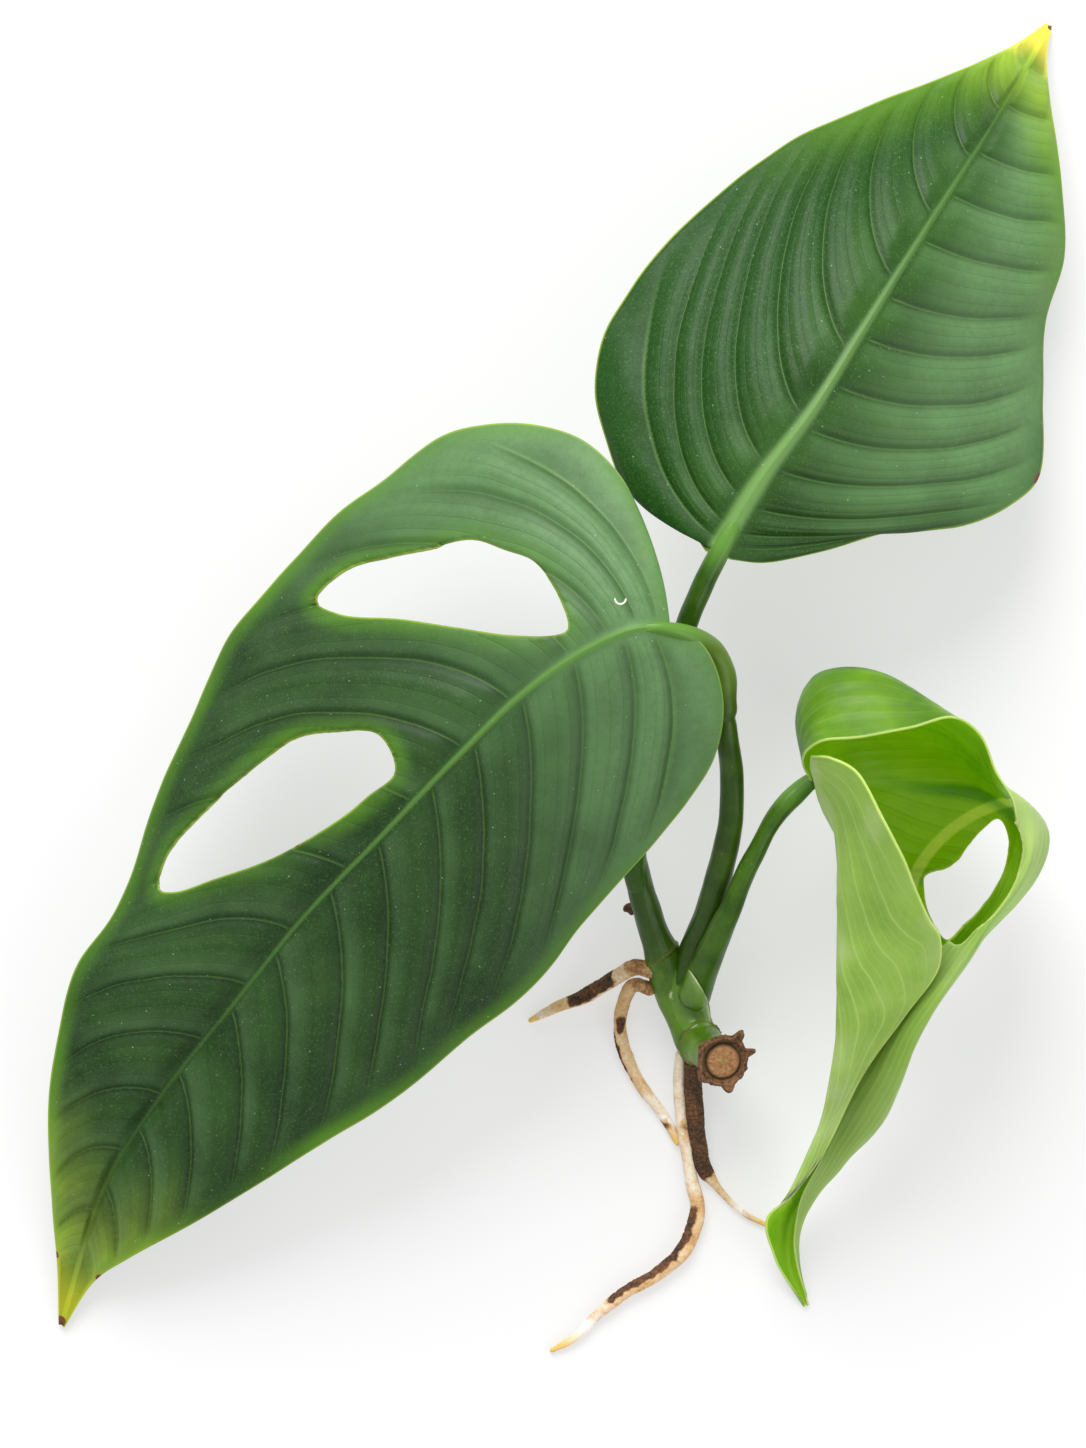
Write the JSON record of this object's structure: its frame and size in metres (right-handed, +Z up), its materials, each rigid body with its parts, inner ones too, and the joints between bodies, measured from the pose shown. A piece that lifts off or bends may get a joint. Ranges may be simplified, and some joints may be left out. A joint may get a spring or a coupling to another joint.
{
  "type": "monstera leaf cutting",
  "caption": "Rooted monstera cutting that lies on a surface: a leaf with long gaps, a plain leaf and a furled young leaf on stalks from a short stem with thin roots.",
  "frame": {"origin": "the point on the surface the cutting lies on, under the middle of its bounding box", "axes": "+Z up from that surface; +Y along the cutting, from the tip of the long root to the tip of the plain leaf; +X from the leaf with gaps towards the furled young leaf"},
  "size_m": [0.1872, 0.2478, 0.0606],
  "materials": {
    "grown_blade": "dark green leaf, smooth and slightly glossy, with sunken side veins",
    "plain_blade": "mid-green leaf, smooth and slightly glossy, with a pale midrib",
    "young_blade": "bright yellow-green young leaf, pale and matt outside, thin enough to glow",
    "green_stalk": "smooth green skin, slightly glossy",
    "green_stem": "green skin with a brown node ring, and a tan cut face with torn bark at its edge",
    "root_skin": "cream to tan root with dark brown, rough stretches, matt",
    "brown_root_skin": "dark brown, rough and matt"
  },
  "bodies": {
    "root": {"stem": "green_stem", "stalk_split": "green_stalk", "stalk_whole": "green_stalk", "stalk_young": "green_stalk", "blade_split": "grown_blade", "blade_whole": "plain_blade", "blade_young": "young_blade", "root_short": "root_skin", "root_looped": "root_skin", "root_dark": "brown_root_skin", "root_long": "root_skin", "root_bud": "brown_root_skin"}
  },
  "joints": []
}
